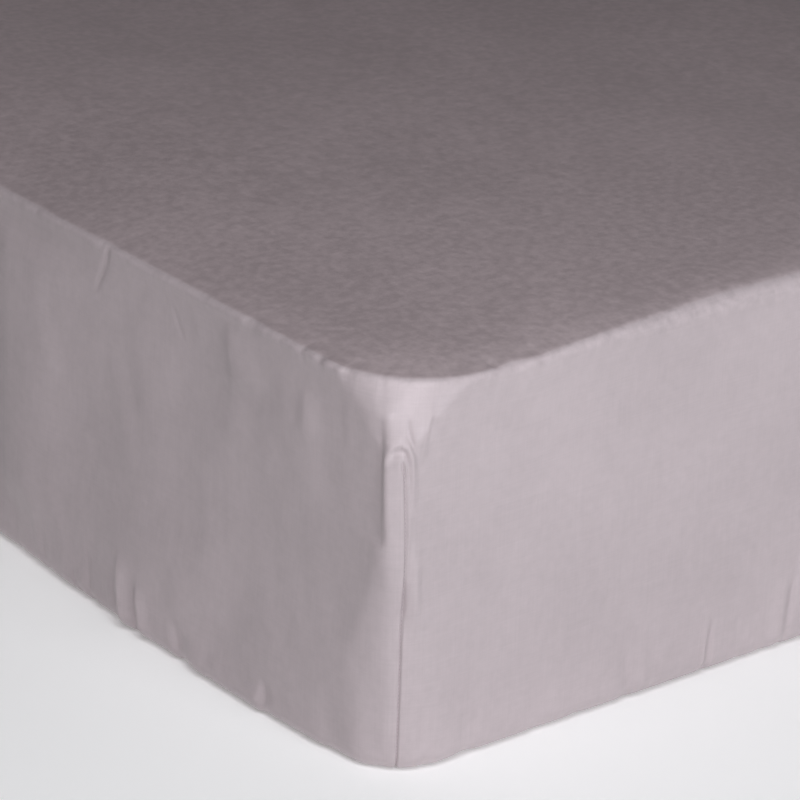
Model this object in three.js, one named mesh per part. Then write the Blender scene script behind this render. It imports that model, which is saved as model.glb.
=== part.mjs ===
// A fitted sheet drawn over a deep mattress. The sheet is one panel of cloth: flat on top, turned
// down over the four sides, closed at each corner by a sewn dart, and drawn in underneath by its
// gathered hem. The mattress inside it is plain.
//
// Units are millimetres. +Z is up, +Y runs along the mattress, and the origin is the middle of the
// surface that the whole rests on.

import * as THREE from "three";

const { clamp, euclideanModulo, lerp, smoothstep } = THREE.MathUtils;

// ---- Driving dimensions ----

const MATTRESS = {
  width: 1400,
  length: 1900,
  height: 297,
  cornerRadius: 74, // of the outline, seen from above
  edgeRadius: 20, // of the long edges round the top and the bottom
  barrel: 3, // how far the sides swell between those edges
  crown: 4, // how far the top swells above its edges
};

const CLOTH = {
  thickness: 1.6,
  contactGap: 0.4, // where it lies on the mattress
  edgeGap: 2.5, // where it turns over the top edge
  sideGap: 5.5, // down the sides, which leaves room for the folds
};

const LAP = {
  depth: 112, // how far the cloth reaches in under the mattress
  cornerRadius: 190, // of the opening that the hem leaves
  gather: 3.6, // the height of the pleats that the hem draws up
};

const HEM = {
  depth: 18,
  thickness: 2.4, // the cloth turned over on itself and pressed
};

// ---- Folds ----
// A place along the outline is a walk: the distance anticlockwise, seen from above, from the middle
// of the front left corner. A negative walk goes up the left side instead. `depth` is how far the
// cloth stands out, or sinks in where it is negative, and `half` is how far the fold reaches each
// way. A fold runs from the height `from` down to the height `to`, and fades out towards both.

const FADE = 22;
const UNDER = -50; // a fold that ends here runs on under the mattress, to the hem

// Broad swells, where the filling pushes the cloth out between the corners.
const SWELLS = [
  { walk: -290, half: 190, depth: 4, from: 170, to: UNDER },
  { walk: 560, half: 230, depth: 3, from: 150, to: UNDER },
  { walk: 1900, half: 260, depth: 3, from: 160, to: UNDER },
  { walk: 2800, half: 240, depth: 4, from: 150, to: UNDER },
  { walk: -2600, half: 220, depth: 3, from: 160, to: UNDER },
  { walk: -1300, half: 250, depth: 4, from: 150, to: UNDER },
];

// Soft creases that hang from the top edge, where the panel is pulled over it.
const HANGING_CREASES = [
  { walk: -437, half: 20, depth: -2.6, from: 286, to: 70 },
  { walk: -337, half: 10, depth: 2.0, from: 298, to: 258 },
  { walk: -240, half: 11, depth: 2.0, from: 296, to: 232 },
  { walk: -168, half: 14, depth: -2.2, from: 298, to: 232 },
  { walk: -93, half: 13, depth: -2.2, from: 284, to: 220 },
  { walk: 223, half: 17, depth: 1.8, from: 298, to: 236 },
];

// Puckers that the hem draws up round the bottom edge, near the front left corner.
const NEAR_PUCKERS = [
  { walk: -442, half: 14, depth: -2.4, from: 54 },
  { walk: -372, half: 13, depth: -2.8, from: 70 },
  { walk: -334, half: 11, depth: -2.4, from: 48 },
  { walk: -291, half: 12, depth: -3.6, from: 76 },
  { walk: -226, half: 15, depth: -3.0, from: 52 },
  { walk: -104, half: 16, depth: -2.8, from: 46 },
  { walk: 118, half: 15, depth: -2.2, from: 42 },
  { walk: 226, half: 14, depth: -2.8, from: 48 },
  { walk: 312, half: 10, depth: -3.4, from: 56 },
  { walk: 381, half: 12, depth: -2.9, from: 64 },
];

// Round the rest of the outline the puckers are much alike, and unevenly spaced.
const FAR_PUCKERS = {
  first: 520,
  last: -600,
  spacing: 400,
  stray: 70, // how far one may lie from its even place
  half: 16,
  depth: -2.8,
  from: 54,
};

// The folds of a corner dart. `across` is measured from its seam.
const DART_FOLDS = [
  { across: -19, half: 8, depth: -3.0, from: 296, to: 176 }, // trough beside the dart
  { across: -11, half: 7, depth: 3.4, from: 254, to: 188 }, // short leg of the hood over the seam
  { across: -4, half: 7, depth: 3.2, from: 258, to: 236 }, // top of the hood
  { across: 8, half: 6, depth: 2.8, from: 252, to: 114 }, // long leg of the hood
  { across: 0, half: 4, depth: -1.6, from: 243, to: UNDER }, // the seam
  { across: 22, half: 8, depth: -2.0, from: 286, to: 222 }, // crease on the other side
];

// Where the seam of each corner lies, from the middle of the corner, and which way round it is.
const DARTS = [
  { seam: 9, way: 1 }, // front left
  { seam: -6, way: -1 }, // front right
  { seam: 4, way: 1 }, // back right
  { seam: -8, way: -1 }, // back left
];

// ---- The outline: a rectangle with round corners ----

const cornerArc = (Math.PI / 2) * MATTRESS.cornerRadius;
const sideLengths = [MATTRESS.width, MATTRESS.length, MATTRESS.width, MATTRESS.length].map(
  (whole) => whole - 2 * MATTRESS.cornerRadius,
);
const outlineLength = 4 * cornerArc + sideLengths.reduce((sum, side) => sum + side, 0);

// The walk at the middle of corner 0, 1, 2 or 3, anticlockwise from the front left.
function cornerWalk(corner) {
  const passed = sideLengths.slice(0, corner).reduce((sum, side) => sum + side, 0);
  return passed + corner * cornerArc;
}

// How far walk a is from walk b, the shorter way round.
function walkBetween(a, b) {
  const ahead = euclideanModulo(a - b, outlineLength);
  return Math.min(ahead, outlineLength - ahead);
}

// A walk as a share of one corner's arc, or of the side that follows that corner.
function spotOf(walk) {
  const steps = [0, 1, 2, 3].flatMap((corner) => [
    { corner, length: cornerArc, onArc: true },
    { corner, length: sideLengths[corner], onArc: false },
  ]);
  let left = euclideanModulo(walk + cornerArc / 2, outlineLength);
  const step = steps.find(({ length }) => {
    if (left <= length) return true;
    left -= length;
    return false;
  });
  const share = left / step.length;
  return { corner: step.corner, arcShare: step.onArc ? share : 1, sideShare: step.onArc ? 0 : share };
}

// The point of the outline at a walk, drawn in by `inset` and with its own corner radius, and the
// way that it faces.
function outlinePoint(walk, inset, cornerRadius) {
  const { corner, arcShare, sideShare } = spotOf(walk);
  const reachX = MATTRESS.width / 2 - inset - cornerRadius;
  const reachY = MATTRESS.length / 2 - inset - cornerRadius;
  const centres = [
    [-reachX, -reachY],
    [reachX, -reachY],
    [reachX, reachY],
    [-reachX, reachY],
  ];
  const turn = Math.PI * (1 + (corner + arcShare) / 2);
  const facing = new THREE.Vector2(Math.cos(turn), Math.sin(turn));
  const here = new THREE.Vector2(...centres[corner]);
  const next = new THREE.Vector2(...centres[(corner + 1) % 4]);
  return { point: here.lerp(next, sideShare).addScaledVector(facing, cornerRadius), facing };
}

// ---- The section, from the middle of the top to the hem ----
// A station is one line along the mattress's surface, which the cloth follows at a little distance.
// `tilt` is the way the surface looks: a quarter turn for straight up, 0 for out and minus a quarter
// turn for straight down.

const UP = Math.PI / 2;
const mattressBase = LAP.gather + HEM.thickness + CLOTH.contactGap + 0.1;
const mattressTop = mattressBase + MATTRESS.height;
const upperEdge = mattressTop - MATTRESS.edgeRadius;
const lowerEdge = mattressBase + MATTRESS.edgeRadius;

function topStation(inset, crownShare) {
  return { tilt: UP, inset, height: mattressTop + MATTRESS.crown * crownShare, cornerRadius: 16 };
}

function edgeStation(centreHeight, tilt) {
  const inset = MATTRESS.edgeRadius * (1 - Math.cos(tilt));
  return {
    tilt,
    inset,
    height: centreHeight + MATTRESS.edgeRadius * Math.sin(tilt),
    cornerRadius: MATTRESS.cornerRadius - inset,
  };
}

function sideStation(height) {
  const swell = MATTRESS.barrel * Math.sin((Math.PI * (height - lowerEdge)) / (upperEdge - lowerEdge));
  return { tilt: 0, inset: -swell, height, cornerRadius: MATTRESS.cornerRadius + swell };
}

// Under the mattress the lap's corners round off on the way in to the hem.
function lapStation(inset) {
  const startRadius = MATTRESS.cornerRadius - MATTRESS.edgeRadius;
  const cornerRadius = lerp(startRadius, LAP.cornerRadius, inset / LAP.depth);
  return { tilt: -UP, inset, height: mattressBase, cornerRadius };
}

const TOP_STATIONS = [topStation(230, 1), topStation(75, 0.6)];
const UPPER_EDGE = [1, 0.66, 0.33].map((share) => edgeStation(upperEdge, share * UP));
const SIDE_STATIONS = [upperEdge, 255, 246, 228, 174, 108, 56].map(sideStation);
const LOWER_EDGE = [0, -0.5, -1].map((share) => edgeStation(lowerEdge, share * UP));
const LAP_STATIONS = [60, LAP.depth - HEM.depth, LAP.depth].map(lapStation);
const HEM_STATIONS = LAP_STATIONS.slice(1);

// How far the cloth's inner face stays off the mattress at a station.
function gapAt({ tilt }) {
  if (tilt === UP) return CLOTH.contactGap;
  if (tilt > 0) return lerp(CLOTH.sideGap, CLOTH.edgeGap, tilt / UP);
  return lerp(CLOTH.sideGap, mattressBase - CLOTH.thickness, Math.sin(-tilt));
}

// ---- How the folds shape the cloth ----

// Puckers for the stretch of outline that NEAR_PUCKERS leaves, clear of the darts.
function farPuckers() {
  const stretch = outlineLength - FAR_PUCKERS.first + FAR_PUCKERS.last;
  const count = Math.floor(stretch / FAR_PUCKERS.spacing);
  const puckers = Array.from({ length: count + 1 }, (_, i) => {
    const strength = 1 + 0.25 * Math.sin(7.3 * (i + 1));
    return {
      walk: FAR_PUCKERS.first + (stretch * i) / count + FAR_PUCKERS.stray * Math.sin(12.9 * (i + 1)),
      half: FAR_PUCKERS.half,
      depth: FAR_PUCKERS.depth * strength,
      from: FAR_PUCKERS.from * strength,
    };
  });
  const clearOfDarts = ({ walk }) =>
    DARTS.every((_, corner) => walkBetween(walk, cornerWalk(corner)) > cornerArc);
  return puckers.filter(clearOfDarts);
}

// The folds of all four darts, each placed round its own seam.
function dartFolds() {
  return DARTS.flatMap(({ seam, way }, corner) =>
    DART_FOLDS.map((fold) => ({ ...fold, walk: cornerWalk(corner) + seam + way * fold.across })),
  );
}

const PUCKERS = [...NEAR_PUCKERS, ...farPuckers()].map((pucker) => ({ ...pucker, to: UNDER }));
const FOLDS = [...SWELLS, ...HANGING_CREASES, ...PUCKERS, ...dartFolds()];

// How strongly a fold acts at a height: fully between its ends, fading out near them.
function strengthAt(height, { from, to }) {
  return smoothstep(from - height, 0, FADE) * smoothstep(height - to, 0, FADE);
}

// How far all the folds together move the cloth at a walk and a station. The top stays smooth, and
// underneath the cloth can only be drawn up.
function foldDepth(walk, { tilt, height }) {
  if (tilt === UP) return 0;
  const depth = FOLDS.reduce((sum, fold) => {
    const off = walkBetween(walk, fold.walk) / fold.half;
    if (off >= 1) return sum;
    return sum + fold.depth * Math.cos((off * Math.PI) / 2) ** 2 * strengthAt(height, fold);
  }, 0);
  if (tilt < 0) return clamp(depth, -LAP.gather, Math.cos(tilt) * Math.max(depth, 0));
  return depth;
}

// ---- Columns: the walks at which a skin has a line of points, from the top down ----

const WIDEST_STRETCH = 190; // of plain cloth between two columns
const CLOSEST = 3.8; // a column nearer than this to another is left out

function clothColumns() {
  const middles = FOLDS.map(({ walk }) => walk);
  const cornerPoints = DARTS.flatMap((_, corner) =>
    [-0.5, 0.5].map((share) => cornerWalk(corner) + share * cornerArc),
  );
  const narrow = FOLDS.filter((fold) => !SWELLS.includes(fold));
  const shoulders = narrow.flatMap(({ walk, half }) => [walk - half, walk + half]);
  const columns = [];
  [...middles, ...cornerPoints, ...shoulders].forEach((walk) => {
    if (columns.every((other) => walkBetween(walk, other) > CLOSEST)) {
      columns.push(euclideanModulo(walk, outlineLength));
    }
  });
  columns.sort((a, b) => a - b);
  return columns.flatMap((walk, i) => {
    const next = i + 1 < columns.length ? columns[i + 1] : columns[0] + outlineLength;
    const pieces = Math.ceil((next - walk) / WIDEST_STRETCH);
    return Array.from({ length: pieces }, (_, k) => walk + ((next - walk) * k) / pieces);
  });
}

function mattressColumns(perCorner) {
  return DARTS.flatMap((_, corner) =>
    Array.from({ length: perCorner + 1 }, (_, k) => cornerWalk(corner) + (k / perCorner - 0.5) * cornerArc),
  );
}

// ---- Meshes ----

// One closed line of points round the outline at a station, `lift(walk)` away from the mattress.
function ring(columns, station, lift) {
  const out = Math.cos(station.tilt);
  return columns.map((walk) => {
    const { point, facing } = outlinePoint(walk, station.inset, station.cornerRadius);
    point.addScaledVector(facing, out * lift(walk));
    return new THREE.Vector3(point.x, point.y, station.height + Math.sin(station.tilt) * lift(walk));
  });
}

// A closed skin over rings that each have the same number of points. The first ring and the last
// are level, and each is closed by a fan from its middle.
function skin(rings) {
  const count = rings[0].length;
  const lastRow = (rings.length - 1) * count;
  const middles = [rings[0], rings.at(-1)].map((level) => new THREE.Vector3(0, 0, level[0].z));
  const [firstMiddle, lastMiddle] = [rings.length * count, rings.length * count + 1];
  const faces = [];
  for (let i = 0; i < count; i += 1) {
    const j = (i + 1) % count;
    faces.push(firstMiddle, i, j);
    for (let row = 0; row < lastRow; row += count) {
      faces.push(row + i, row + i + count, row + j);
      faces.push(row + j, row + i + count, row + j + count);
    }
    faces.push(lastMiddle, lastRow + j, lastRow + i);
  }
  const geometry = new THREE.BufferGeometry().setFromPoints([...rings.flat(), ...middles]);
  geometry.setIndex(faces);
  geometry.computeVertexNormals();
  return geometry;
}

function mesh(name, geometry, color, roughness) {
  const part = new THREE.Mesh(geometry, new THREE.MeshStandardMaterial({ color, roughness, metalness: 0 }));
  part.name = name;
  return part;
}

// The sheet's outer face runs from the middle of the top to the hem, and its inner face runs back.
// The hem thickens towards the mattress, because its outer face is the one that rests.
function fittedSheet() {
  const columns = clothColumns();
  const outer = [...TOP_STATIONS, ...UPPER_EDGE, ...SIDE_STATIONS, ...LOWER_EDGE, ...LAP_STATIONS];
  const everyThird = SIDE_STATIONS.filter((_, i) => i % 3 === 2 || i === 0);
  const inner = [...TOP_STATIONS, ...UPPER_EDGE, ...everyThird, ...LOWER_EDGE, ...HEM_STATIONS];
  const face = (station, thickness) => {
    const outside = gapAt(station) + CLOTH.thickness;
    return ring(columns, station, (walk) => outside + foldDepth(walk, station) - thickness);
  };
  const outerRings = outer.map((station) => face(station, 0));
  const innerRings = inner.map((station) =>
    face(station, HEM_STATIONS.includes(station) ? HEM.thickness : CLOTH.thickness),
  );
  return mesh("fitted_sheet", skin([...outerRings, ...innerRings.reverse()]), 0xb5abb0, 0.72);
}

function mattress() {
  const sides = [1, 0.75, 0.5, 0.25].map((share) => sideStation(lerp(lowerEdge, upperEdge, share)));
  const underside = lapStation(LAP.depth);
  const stations = [...TOP_STATIONS, ...UPPER_EDGE, ...sides, ...LOWER_EDGE, underside];
  const columns = mattressColumns(5);
  return mesh("mattress", skin(stations.map((station) => ring(columns, station, () => 0))), 0xe6e2d8, 0.85);
}

const bed = new THREE.Group();
bed.add(mattress(), fittedSheet());

export default bed;
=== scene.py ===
# %% [markdown]
# # A fitted sheet on a deep mattress
#
# A fitted sheet is one panel of cotton. Each of its corners is closed by a sewn dart, so that it turns
# down over the mattress like a lid, and its hem is gathered, so that it grips underneath. This notebook
# dresses the plain model of the frame: it builds the cloth with its folds, the stitches, the mattress
# inside, the finishes of all three, and soft light to see them in.

# %% Load the frame
import math
import random

import bpy
import numpy as np
from mathutils import Matrix, Vector


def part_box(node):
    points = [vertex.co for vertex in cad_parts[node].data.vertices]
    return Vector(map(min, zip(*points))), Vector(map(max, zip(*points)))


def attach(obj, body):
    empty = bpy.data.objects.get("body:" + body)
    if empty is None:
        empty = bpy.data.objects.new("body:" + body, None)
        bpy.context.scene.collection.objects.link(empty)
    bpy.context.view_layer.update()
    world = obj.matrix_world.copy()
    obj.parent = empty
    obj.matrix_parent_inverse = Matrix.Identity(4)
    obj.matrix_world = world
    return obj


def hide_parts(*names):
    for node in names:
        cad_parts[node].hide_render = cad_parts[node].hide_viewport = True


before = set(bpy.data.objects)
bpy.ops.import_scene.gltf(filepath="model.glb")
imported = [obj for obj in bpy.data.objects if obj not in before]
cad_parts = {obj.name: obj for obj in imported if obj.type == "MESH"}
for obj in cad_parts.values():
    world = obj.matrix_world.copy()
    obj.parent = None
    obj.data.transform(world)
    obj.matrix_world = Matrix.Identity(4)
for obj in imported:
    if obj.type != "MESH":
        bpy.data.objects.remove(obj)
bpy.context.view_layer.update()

MM = 0.001
ROUNDING = 1e-6  # metres: heights closer than this count as the same
sheet_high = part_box("fitted_sheet")[1]
mattress_low, mattress_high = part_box("mattress")

# %% [markdown]
# ## Sizes
#
# The frame says how big the sheet is. A mattress has round corners, and tighter edges where its top and
# bottom meet its sides. The sides swell a little between those edges and the top swells above them, as
# foam and springs do under a stretched cover. The frame's box includes these swells, so they come off it
# first, which leaves the plain outline that everything below starts from.

# %% Sizes of the cloth on the mattress
BARREL = 3 * MM  # how far the sides swell half way up
FOLDS_PROUD = 3.5 * MM  # how far the fullest folds stand out past that
CROWN = 4 * MM  # how far the top swells
CORNER_RADIUS = 80 * MM  # of the outline, seen from above, at its top
CORNER_RADII = [  # (height, radius) lower down, where the dart draws the corner together, in millimetres
    (10, 57), (60, 50), (100, 43), (130, 34), (150, 24), (170, 17), (198, 15), (252, 15), (262, 21),
    (272, 31), (282, 44), (291, 60), (300, 77), (306, 82),
]
BOTTOM_RADIUS = 17 * MM
LAP_END = 119 * MM  # how far in from the outline the hem lies underneath
LAP_WIDENING = 250 * MM  # how much rounder the hem's corners are than a plain inset of the outline
GATHER = 3.4 * MM  # the height of the pleats that the hem draws up

half_width = sheet_high.x - BARREL - FOLDS_PROUD
half_length = sheet_high.y - BARREL - FOLDS_PROUD
top_edge = sheet_high.z - CROWN
print(f"outline {2 * half_width:.3f} x {2 * half_length:.3f} m, {top_edge:.3f} m high at its edges")

# %% [markdown]
# ## A walk round the outline
#
# Folds in a sheet belong to places round its edge: so far from a corner, at such a height. It helps to
# measure those places the way that a hand would feel for them, as a *walk* round the outline. It starts
# at the middle of the front left corner and goes anticlockwise, seen from above, so a negative walk goes
# up the left side. A straight side and a quarter circle then need no special treatment in the tables.

# %% The outline as a function of the walk
corner_arc = math.pi / 2 * CORNER_RADIUS
side_lengths = np.array([half_width, half_length, half_width, half_length]) * 2 - 2 * CORNER_RADIUS
outline_length = 4 * corner_arc + side_lengths.sum()
CORNER_SIGNS = np.array([(-1, -1), (1, -1), (1, 1), (-1, 1)])


def table_value(table, at):
    """The value at some place of a table of (place, value) in millimetres, changing evenly in between."""
    places, values = np.array(table, float).T * MM
    return np.interp(at, places, values)


def corner_walk(corner):
    """The walk at the middle of corner 0, 1, 2 or 3, anticlockwise from the front left."""
    return side_lengths[:corner].sum() + corner * corner_arc


def shorter_way(walk):
    """A walk's difference as the shorter way round, from minus half the outline to plus half."""
    return np.mod(walk + outline_length / 2, outline_length) - outline_length / 2


def outline(walk, inset, radius, bend):
    """Points and facing at each walk. The line is drawn in by inset and its corners have that radius.

    `bend` is the corner radius of the cloth at rest, which says how much of the walk lies in the corner.
    """
    middles = np.array([corner_walk(corner) for corner in range(4)] + [outline_length])
    along = np.mod(walk, outline_length)
    corner = np.abs(along[:, None] - middles).argmin(axis=1)
    past = along - middles[corner]
    corner = corner % 4
    inset, radius, bend = (np.broadcast_to(value, walk.shape) for value in (inset, radius, bend))
    turn = np.clip(past / bend, -math.pi / 4, math.pi / 4)
    side = np.where(past > 0, corner, (corner + 3) % 4)
    side_half = np.array([half_width, half_length])[side % 2]
    corner_half = bend * math.pi / 4
    straight_half = (middles[1:] - middles[:-1])[side] / 2 - corner_half
    side_share = np.clip((np.abs(past) - corner_half) / straight_half, 0, 1)
    angle = math.pi * (1.25 + corner / 2) + turn
    facing = np.stack([np.cos(angle), np.sin(angle)], axis=1)
    reach = (np.array([half_width, half_length]) - (inset + radius)[:, None]) * CORNER_SIGNS[corner]
    heading = np.array([(1, 0), (0, 1), (-1, 0), (0, -1)])[side] * np.sign(past)[:, None]
    run = side_share * (side_half - inset - radius)
    return reach + heading * run[:, None] + radius[:, None] * facing, facing


print(f"the outline is {outline_length:.3f} m round")

# %% [markdown]
# ## Where the mesh is fine
#
# A mesh needs points only where its shape changes. A seam is a groove a millimetre wide, a pucker is about
# ten, and the middle of the top is nearly flat. An even grid would either lose the seam or hold millions of
# faces. So the columns of points, which run from the top down to the hem, stand close together at the
# darts and far apart on plain stretches. Only the lower part of the cloth, which the hem gathers, uses
# every column, and the smooth top uses a few.

# %% Columns, closest at the darts
SEAMS = [  # where each corner's seam lies, from the middle of its corner, and which way round it is made;
    # the strength of its folds; and the step of its columns, as a share of those below
    {"corner": 0, "offset": 8 * MM, "way": 1, "strength": 1.0, "step": 1.0},
    {"corner": 1, "offset": -6 * MM, "way": -1, "strength": 0.85, "step": 1.8},
    {"corner": 2, "offset": 4 * MM, "way": 1, "strength": 1.1, "step": 1.8},
    {"corner": 3, "offset": -8 * MM, "way": -1, "strength": 0.9, "step": 1.8},
]
DART_STEPS = [(5, 0.6), (30, 1.3), (60, 3.0)]  # (distance from a seam, step up to there), in millimetres
SIDE_STEPS = [  # (from, to, step) on the stretches of the two near sides that have puckers, in millimetres
    (-620, -450, 4.0), (-450, -50, 2.3), (68, 200, 3.6), (200, 244, 2.0), (244, 286, 3.8), (286, 310, 1.7),
    (310, 366, 3.8), (366, 396, 1.7), (396, 520, 4.2),
]
FAR_STEP = 8.6 * MM


def seam_walk(seam):
    """The walk at a seam."""
    return corner_walk(seam["corner"]) + seam["offset"]


def column_step(walk):
    """How far on from a walk the next column stands."""
    nearest = min(SEAMS, key=lambda seam: abs(shorter_way(walk - seam_walk(seam))))
    from_seam = abs(shorter_way(walk - seam_walk(nearest)))
    for within, step in DART_STEPS:
        if from_seam < within * MM:
            return step * MM * nearest["step"]
    for start, end, step in SIDE_STEPS:
        if start * MM <= shorter_way(walk) < end * MM:
            return step * MM
    return FAR_STEP


def walk_columns():
    """The walk at each column, from the first seam once round."""
    walks = [seam_walk(SEAMS[0])]
    while walks[-1] < seam_walk(SEAMS[0]) + outline_length - column_step(walks[-1]):
        walks.append(walks[-1] + column_step(walks[-1]))
    return np.array(walks)


columns = walk_columns()
EVERY, SOME, FEW = "every", "some", "few"  # the three densities of columns that a row may use
far_column = np.array([column_step(walk) == FAR_STEP for walk in columns])
numbers = np.arange(len(columns))
column_sets = {
    EVERY: numbers,
    SOME: numbers[~far_column | (numbers % 3 == 0)],
    FEW: numbers[numbers % 6 == 0],
}
print("columns:", {name: len(members) for name, members in column_sets.items()})

# %% [markdown]
# ## The section, from the middle of the top to the hem
#
# Each row of the mesh is one line round the whole sheet. A row knows how far in from the outline it lies,
# how high, and its *level*: the height on the side, which goes on past both edges as the distance along
# the cloth, so that a fold can run over an edge without a break. The top edge is tight on the left and at
# the corners, where the cloth is pulled hardest, and rounder along the foot end.

# %% Rows of the section
TOP_RADII = [  # (walk, radius) of the top edge, in millimetres
    (-3200, 12), (-700, 11), (-480, 8), (-60, 7), (-30, 5), (60, 5), (76, 6), (92, 11), (110, 7), (200, 11),
    (290, 16), (800, 14), (3200, 12),
]
top_radius = table_value(TOP_RADII, shorter_way(columns))
TOP_ROUND = 20 * MM  # the edge's rows lie within this much of the edge, whatever its radius
TIGHTEST_RADIUS = 12 * MM  # of any row's corners
upper_bend = top_edge - TOP_ROUND
rows = []


def add_row(inset, height, widening, level, out, up, density):
    """One row. The displacement at it moves its points by `out` sideways and by `up` upwards.

    `widening` is how much the row's corners are rounder than the corner that it is an inset copy of.
    """
    bend = table_value(CORNER_RADII, height)
    radius = np.maximum(bend - inset + widening, TIGHTEST_RADIUS)
    row = {"inset": inset, "height": height, "radius": radius, "bend": bend, "out": out, "up": up}
    row = {name: np.broadcast_to(value, columns.shape) for name, value in row.items()}
    rows.append({**row, "level": level, "density": density})


def barrel(height):
    """How far the side swells at a height."""
    share = np.clip((height - BOTTOM_RADIUS) / (top_edge - BOTTOM_RADIUS), 0, 1)
    return BARREL * np.sin(math.pi * share)


print(f"the top edge's radius is {top_radius.min() / MM:.0f} to {top_radius.max() / MM:.0f} mm")

# %% The top: wide rings in the middle, closer towards the edge
CROWN_REACH = 46 * MM  # the top has risen most of its crown this far inside the edge
FULLNESS = 4 * MM  # how much more than the frame's crown the top swells
CROWN_DIP = 1.4 * MM  # how far the surface has sunk where it turns over the edge
CROWN_START = 8 * MM  # how far inside the edge the top begins to rise
EDGE_LEVEL = upper_bend + TOP_ROUND * math.pi / 2
TOP_INSETS = [640, 520, 400, 300, 220, 165, 125, 92, 66, 48, 36, 28, 24]  # in millimetres
CLOSE_TO_EDGE = 50 * MM  # rows nearer than this use more columns


def rise_at(inset):
    """How far the top stands above the level of its edge, this far in from the outline."""
    return (CROWN + FULLNESS) * (1 - np.exp(-(inset - CROWN_START) / CROWN_REACH)) - CROWN_DIP


for inset in [value * MM for value in TOP_INSETS]:
    density = SOME if inset < CLOSE_TO_EDGE else FEW
    add_row(inset, top_edge + rise_at(inset), 0, EDGE_LEVEL + inset - TOP_ROUND, 0, 1, density)
print(len(rows), "rows on the top")

# %% The top edge: a quarter circle of each column's own radius between two short straight stretches
EDGE_SHARES = [0, 0.15, 0.28, 0.37, 0.43, 0.48, 0.53, 0.58, 0.64, 0.72, 0.83, 1]  # closest at the turn


def edge_point(share, radius):
    """Inset, height, and the tilt of the surface, for a share of the way over the edge."""
    straight = TOP_ROUND - radius
    past = share * (2 * straight + radius * math.pi / 2)
    angle = np.clip((past - straight) / radius, 0, math.pi / 2)
    on_top = np.clip(straight - past, 0, None)
    down = np.clip(past - straight - radius * math.pi / 2, 0, None)
    inset = radius * (1 - np.sin(angle)) + on_top
    sunk = rise_at(np.maximum(inset, radius)) * (1 - share) ** 0.5
    return inset, top_edge + sunk - radius * (1 - np.cos(angle)) - down, math.pi / 2 - angle


for share in EDGE_SHARES:
    inset, height, tilt = edge_point(share, top_radius)
    inset = inset - barrel(height) * share
    level = EDGE_LEVEL - share * (EDGE_LEVEL - upper_bend)
    add_row(inset, height, 0, level, np.cos(tilt), np.sin(tilt), SOME)
print(len(EDGE_SHARES), "rows over the top edge")

# %% The side, the bottom edge and the lap underneath
GATHERED_BELOW = 72 * MM  # every column is used from here down
SIDE_ROWS = [  # (down to which height, how far apart the rows are)
    (268 * MM, 3.6 * MM),
    (240 * MM, 1.8 * MM),  # the darts' hoods
    (200 * MM, 5.0 * MM),
    (184 * MM, 2.7 * MM),  # the ends of the creases beside them
    (GATHERED_BELOW, 5.6 * MM),
    (BOTTOM_RADIUS, 4.2 * MM),
]
stretch_top = upper_bend
for down_to, step in SIDE_ROWS:
    count = round((stretch_top - down_to) / step)
    for height in np.linspace(stretch_top, down_to, count + 1)[1:]:
        if height > BOTTOM_RADIUS + ROUNDING:
            density = SOME if height > GATHERED_BELOW + ROUNDING else EVERY
            add_row(-barrel(height), height, 0, height, 1, 0, density)
    stretch_top = down_to

for angle in np.linspace(0, math.pi / 2, 8)[:-1]:
    inset = BOTTOM_RADIUS * (1 - math.cos(angle))
    height = BOTTOM_RADIUS * (1 - math.sin(angle))
    level = BOTTOM_RADIUS * (1 - angle)
    add_row(inset, height, 0, level, math.cos(angle), -math.sin(angle), EVERY)

LAP_LEVEL = BOTTOM_RADIUS * (1 - math.pi / 2)
for share in np.linspace(0, 1, 12):
    inset = BOTTOM_RADIUS + share * (LAP_END - BOTTOM_RADIUS)
    add_row(inset, 0, share * LAP_WIDENING, LAP_LEVEL - inset + BOTTOM_RADIUS, 0, -1, EVERY)
print(len(rows), "rows down to the hem")

# %% The hem: the cloth turns back over itself
HEM_DEPTH = 16 * MM
HEM_TURN = [(-0.6, 0.6), (0, 1.2), (4, 1.3), (10, 1.2), (HEM_DEPTH / MM, 0.9)]  # (back, up), in millimetres
hem_level = LAP_LEVEL - LAP_END + BOTTOM_RADIUS
for back, rise in HEM_TURN:
    inset = LAP_END - back * MM
    add_row(inset, rise * MM, LAP_WIDENING, hem_level, 0, -1, EVERY)

levels = np.array([row["level"] for row in rows])
print(f"{len(rows)} rows, from level {levels.max():.3f} to {levels.min():.3f} m")

# %% [markdown]
# ## Folds as brush strokes
#
# A cloth simulation finds folds of its own, but these folds have places: a dart has its hood exactly over
# its seam. So each fold is laid on one by one, as a *stroke* along a few points of walk and level. A stroke
# is a soft ridge, or a trough where its depth is negative, whose width and depth may change along it, and
# which fades at both ends. The strokes add up in two maps: the *relief* stands out from the surface, and
# the *swell*, which is the filling pushing the whole side out or giving way, moves it level with the floor.

# %% The two maps of displacement and the stroke that draws on them
relief = np.zeros((len(rows), len(columns)))
swell = np.zeros_like(relief)


def smooth(share):
    """A share from nought to one, eased at both ends."""
    share = np.clip(share, 0, 1)
    return share * share * (3 - 2 * share)


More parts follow.
